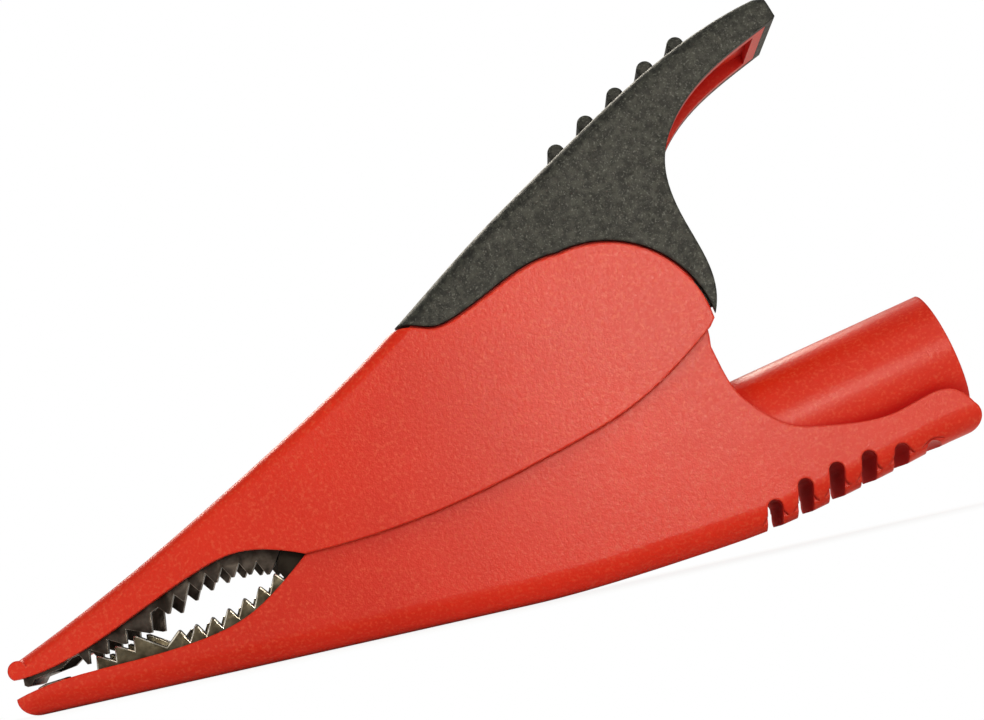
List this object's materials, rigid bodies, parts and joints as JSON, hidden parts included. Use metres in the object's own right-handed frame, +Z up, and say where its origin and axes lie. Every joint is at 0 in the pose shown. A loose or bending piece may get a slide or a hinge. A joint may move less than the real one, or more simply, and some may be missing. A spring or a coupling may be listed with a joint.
{
  "type": "crocodile clip",
  "caption": "Insulated crocodile clip for test leads: sprung toothed jaws in plastic shells, a thumb lever and a shrouded socket for a 4 mm plug.",
  "frame": {"origin": "bottom centre of the closed clip, on the line that the lower jaw rests on", "axes": "+X towards the socket, -X towards the tips; +Z up towards the thumb grip; +Y along the hinge pin"},
  "size_m": [0.0958, 0.0154, 0.0521],
  "materials": {
    "red_plastic": "fine satin grain",
    "black_plastic": "coarse grain",
    "nickel_plate": "plated, stamped edges",
    "steel": "ground",
    "spring_steel": "drawn wire",
    "brass": "turned, plated"
  },
  "bodies": {
    "body": {"body_housing": "red_plastic", "lower_jaw": "nickel_plate", "hinge_pin": "steel", "torsion_spring": "spring_steel", "socket_contact": "brass"},
    "lever": {"lever_shell": "red_plastic", "thumb_grip": "black_plastic", "upper_jaw": "nickel_plate"}
  },
  "joints": [
    {"name": "lever_hinge", "type": "hinge", "parent": "body", "child": "lever", "pos_m": [0.0146, 0, 0.0215], "axis": [0, 1, 0], "range_deg": [0, 34], "stiffness_Nm_per_rad": 0.35, "springref_deg": -57.3, "deforming": ["torsion_spring"]}
  ]
}
